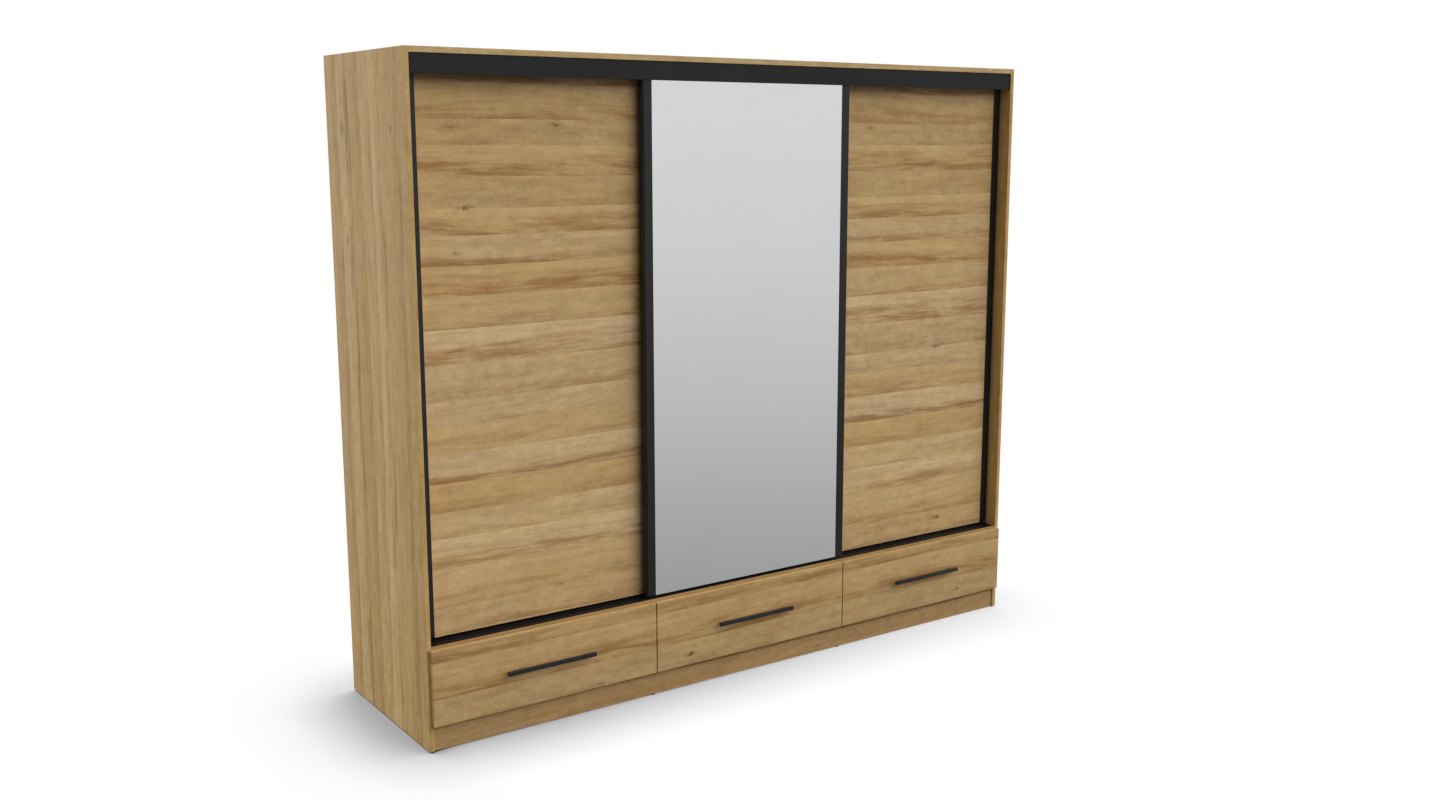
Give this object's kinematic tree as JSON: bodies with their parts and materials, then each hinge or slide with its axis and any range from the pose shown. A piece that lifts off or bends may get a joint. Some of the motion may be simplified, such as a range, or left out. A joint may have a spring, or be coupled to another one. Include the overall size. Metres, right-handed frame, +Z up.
{
  "type": "sliding door wardrobe",
  "caption": "Wide freestanding wardrobe with oak-effect sliding doors, a mirror door, drawers below and black profiles, tracks and handles.",
  "frame": {"origin": "on the floor, at the middle of the width and of the whole depth with the drawer handles", "axes": "+X along the width to the right seen from the front, +Y from the doors to the back, +Z up"},
  "size_m": [2.5, 0.6916, 2.167],
  "materials": {
    "oak_board": "oak-effect melamine board, satin",
    "black_profile": "black anodised extrusion, satin",
    "mirror": "silvered glass",
    "back_sheet": "lacquered hardboard sheet",
    "drawer_board": "white melamine board",
    "zinc_steel": "zinc-plated pressed steel",
    "chrome_tube": "polished tube",
    "white_nylon": "injection-moulded nylon",
    "black_plastic": "injection-moulded",
    "black_handle": "matt black powder coat"
  },
  "bodies": {
    "carcass": {"left_side_panel": "oak_board", "right_side_panel": "oak_board", "top_panel": "oak_board", "deck_panel": "oak_board", "plinth": "oak_board", "base_boards": "oak_board", "lower_partitions": "oak_board", "upper_partitions": "oak_board", "shelves": "oak_board", "back_sheets": "back_sheet", "fascia": "black_profile", "top_track": "black_profile", "bottom_track": "black_profile", "slide_cabinet_members": "zinc_steel", "cam_fittings": "zinc_steel", "shelf_pins": "zinc_steel", "hanging_rails": "chrome_tube", "rail_flanges": "chrome_tube", "floor_glides": "black_plastic"},
    "left_door": {"left_door_panel": "oak_board", "left_door_left_profile": "black_profile", "left_door_right_profile": "black_profile", "left_door_roller_brackets": "zinc_steel", "left_door_top_guides": "black_plastic"},
    "left_door_roller_1": {"left_door_roller_1": "white_nylon"},
    "left_door_roller_2": {"left_door_roller_2": "white_nylon"},
    "mirror_door": {"mirror_door_backing": "drawer_board", "mirror_door_left_profile": "black_profile", "mirror_door_right_profile": "black_profile", "mirror_door_roller_brackets": "zinc_steel", "mirror_door_top_guides": "black_plastic", "mirror_glass": "mirror"},
    "mirror_door_roller_1": {"mirror_door_roller_1": "white_nylon"},
    "mirror_door_roller_2": {"mirror_door_roller_2": "white_nylon"},
    "right_door": {"right_door_panel": "oak_board", "right_door_left_profile": "black_profile", "right_door_right_profile": "black_profile", "right_door_roller_brackets": "zinc_steel", "right_door_top_guides": "black_plastic"},
    "right_door_roller_1": {"right_door_roller_1": "white_nylon"},
    "right_door_roller_2": {"right_door_roller_2": "white_nylon"},
    "left_drawer": {"left_drawer_front": "oak_board", "left_drawer_handle": "black_handle", "left_drawer_box": "drawer_board", "left_drawer_bottom": "back_sheet", "left_drawer_slide_inners": "zinc_steel"},
    "left_drawer_slide_carriages": {"left_drawer_slide_middles": "zinc_steel"},
    "middle_drawer": {"middle_drawer_front": "oak_board", "middle_drawer_handle": "black_handle", "middle_drawer_box": "drawer_board", "middle_drawer_bottom": "back_sheet", "middle_drawer_slide_inners": "zinc_steel"},
    "middle_drawer_slide_carriages": {"middle_drawer_slide_middles": "zinc_steel"},
    "right_drawer": {"right_drawer_front": "oak_board", "right_drawer_handle": "black_handle", "right_drawer_box": "drawer_board", "right_drawer_bottom": "back_sheet", "right_drawer_slide_inners": "zinc_steel"},
    "right_drawer_slide_carriages": {"right_drawer_slide_middles": "zinc_steel"}
  },
  "joints": [
    {"name": "left_door_slide", "type": "slide", "parent": "carcass", "child": "left_door", "axis": [1, 0, 0], "range_m": [0, 0.72]},
    {"name": "left_door_roller_1_spin", "type": "hinge", "parent": "left_door", "child": "left_door_roller_1", "pos_m": [-1.123, -0.22725, 0.366], "axis": [0, 1, 0], "continuous": true},
    {"name": "left_door_roller_2_spin", "type": "hinge", "parent": "left_door", "child": "left_door_roller_2", "pos_m": [-0.473, -0.22725, 0.366], "axis": [0, 1, 0], "continuous": true},
    {"name": "mirror_door_slide", "type": "slide", "parent": "carcass", "child": "mirror_door", "axis": [1, 0, 0], "range_m": [-0.798, 0.798]},
    {"name": "mirror_door_roller_1_spin", "type": "hinge", "parent": "mirror_door", "child": "mirror_door_roller_1", "pos_m": [-0.325, -0.26825, 0.366], "axis": [0, 1, 0], "continuous": true},
    {"name": "mirror_door_roller_2_spin", "type": "hinge", "parent": "mirror_door", "child": "mirror_door_roller_2", "pos_m": [0.325, -0.26825, 0.366], "axis": [0, 1, 0], "continuous": true},
    {"name": "right_door_slide", "type": "slide", "parent": "carcass", "child": "right_door", "axis": [1, 0, 0], "range_m": [-0.72, 0]},
    {"name": "right_door_roller_1_spin", "type": "hinge", "parent": "right_door", "child": "right_door_roller_1", "pos_m": [0.473, -0.22725, 0.366], "axis": [0, 1, 0], "continuous": true},
    {"name": "right_door_roller_2_spin", "type": "hinge", "parent": "right_door", "child": "right_door_roller_2", "pos_m": [1.123, -0.22725, 0.366], "axis": [0, 1, 0], "continuous": true},
    {"name": "left_drawer_slide", "type": "slide", "parent": "carcass", "child": "left_drawer", "axis": [0, -1, 0], "range_m": [0, 0.45]},
    {"name": "left_drawer_carriage_slide", "type": "slide", "parent": "carcass", "child": "left_drawer_slide_carriages", "axis": [0, -1, 0], "range_m": [0, 0.225]},
    {"name": "middle_drawer_slide", "type": "slide", "parent": "carcass", "child": "middle_drawer", "axis": [0, -1, 0], "range_m": [0, 0.45]},
    {"name": "middle_drawer_carriage_slide", "type": "slide", "parent": "carcass", "child": "middle_drawer_slide_carriages", "axis": [0, -1, 0], "range_m": [0, 0.225]},
    {"name": "right_drawer_slide", "type": "slide", "parent": "carcass", "child": "right_drawer", "axis": [0, -1, 0], "range_m": [0, 0.45]},
    {"name": "right_drawer_carriage_slide", "type": "slide", "parent": "carcass", "child": "right_drawer_slide_carriages", "axis": [0, -1, 0], "range_m": [0, 0.225]}
  ],
  "couplings": [
    {"joint": "left_door_roller_1_spin", "follows": "left_door_slide", "rad_per_m": 83.333},
    {"joint": "left_door_roller_2_spin", "follows": "left_door_slide", "rad_per_m": 83.333},
    {"joint": "mirror_door_roller_1_spin", "follows": "mirror_door_slide", "rad_per_m": 83.333},
    {"joint": "mirror_door_roller_2_spin", "follows": "mirror_door_slide", "rad_per_m": 83.333},
    {"joint": "right_door_roller_1_spin", "follows": "right_door_slide", "rad_per_m": 83.333},
    {"joint": "right_door_roller_2_spin", "follows": "right_door_slide", "rad_per_m": 83.333},
    {"joint": "left_drawer_carriage_slide", "follows": "left_drawer_slide", "ratio": 0.5},
    {"joint": "middle_drawer_carriage_slide", "follows": "middle_drawer_slide", "ratio": 0.5},
    {"joint": "right_drawer_carriage_slide", "follows": "right_drawer_slide", "ratio": 0.5}
  ]
}
